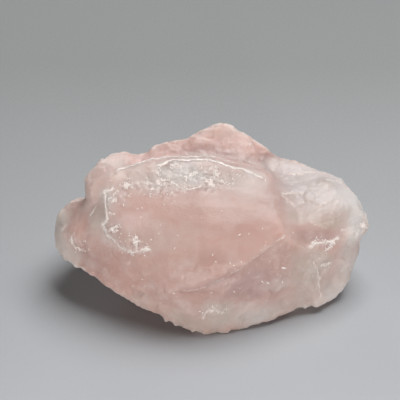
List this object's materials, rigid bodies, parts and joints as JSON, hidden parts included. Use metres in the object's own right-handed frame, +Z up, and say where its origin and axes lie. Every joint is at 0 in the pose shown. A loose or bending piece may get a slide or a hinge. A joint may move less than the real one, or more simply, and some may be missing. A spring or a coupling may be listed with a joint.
{
  "type": "rough morganite crystal",
  "caption": "Hand-size lump of milky pink beryl as broken from the rock, with a leaning plate, a ridge, side lobes and a flat break to rest on.",
  "frame": {"origin": "middle of the lump's box in plan, on the surface it rests on", "axes": "+X along the lump's length, towards the pale right lobe; +Y from the leaning front plate towards the back ridge; +Z up from the flat break"},
  "size_m": [0.0808, 0.0458, 0.0398],
  "materials": {
    "pink_crystal": "milky translucent pink crystal on fresh satin fracture faces, whitened where it is bruised"
  },
  "bodies": {
    "root": {"crystal": "pink_crystal"}
  },
  "joints": []
}
